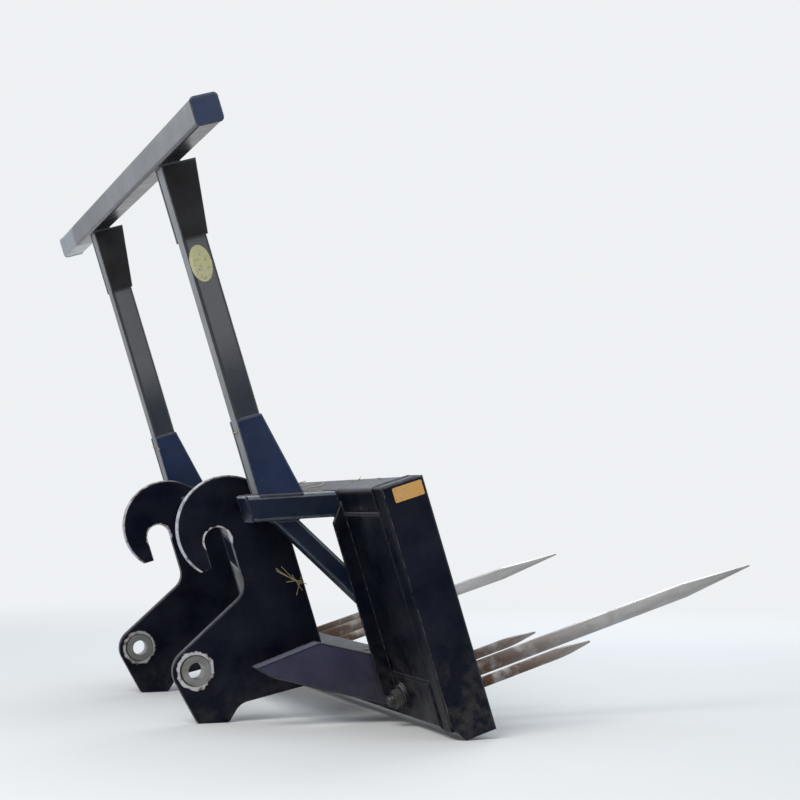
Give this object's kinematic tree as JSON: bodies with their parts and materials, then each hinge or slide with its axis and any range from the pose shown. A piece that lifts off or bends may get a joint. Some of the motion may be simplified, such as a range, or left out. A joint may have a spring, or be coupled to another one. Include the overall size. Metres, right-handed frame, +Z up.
{
  "type": "double bale spear",
  "caption": "Loader attachment for round bales: hook plates and lock pin bores behind, a tube face with long spears and short stabilisers, and a raised rack above.",
  "frame": {"origin": "on the floor under the middle of the parked set's box", "axes": "+X forward, the way the spears point; +Y to the left; +Z up. The set is leaned back as it parks"},
  "size_m": [2.0264, 2.44, 1.802],
  "materials": {
    "frame_paint": "gloss black paint with dust",
    "rack_paint": "semi-gloss black paint, dusty",
    "plate_paint": "satin black paint",
    "dusty_paint": "black paint under grey dust",
    "spear_steel": "forged steel polished by bales",
    "bushing_steel": "turned steel, greased",
    "nut_steel": "zinc gone dull"
  },
  "bodies": {
    "root": {"brace_left": "frame_paint", "brace_right": "frame_paint", "crossbar": "rack_paint", "crossbar_caps": "rack_paint", "end_plate_left": "frame_paint", "end_plate_right": "frame_paint", "foot_plates_left": "plate_paint", "foot_plates_right": "plate_paint", "head_plates_left": "plate_paint", "head_plates_right": "plate_paint", "hook_plate_left": "frame_paint", "hook_plate_right": "frame_paint", "inner_upright_left": "frame_paint", "inner_upright_right": "frame_paint", "lower_arm_left": "dusty_paint", "lower_arm_right": "dusty_paint", "lower_cross_tube": "frame_paint", "lower_rail": "frame_paint", "outer_upright_left": "frame_paint", "outer_upright_right": "frame_paint", "pin_bushing_left": "bushing_steel", "pin_bushing_right": "bushing_steel", "rack_post_left": "rack_paint", "rack_post_right": "rack_paint", "spear_left": "spear_steel", "spear_nuts": "nut_steel", "spear_right": "spear_steel", "spear_sleeves": "frame_paint", "stabiliser_inner_left": "spear_steel", "stabiliser_inner_right": "spear_steel", "stabiliser_outer_left": "spear_steel", "stabiliser_outer_right": "spear_steel", "top_arm_left": "frame_paint", "top_arm_right": "frame_paint", "upper_cross_tube": "frame_paint", "upper_rail": "frame_paint", "upright_caps": "frame_paint", "wing_plate_left": "frame_paint", "wing_plate_right": "frame_paint"}
  },
  "joints": []
}
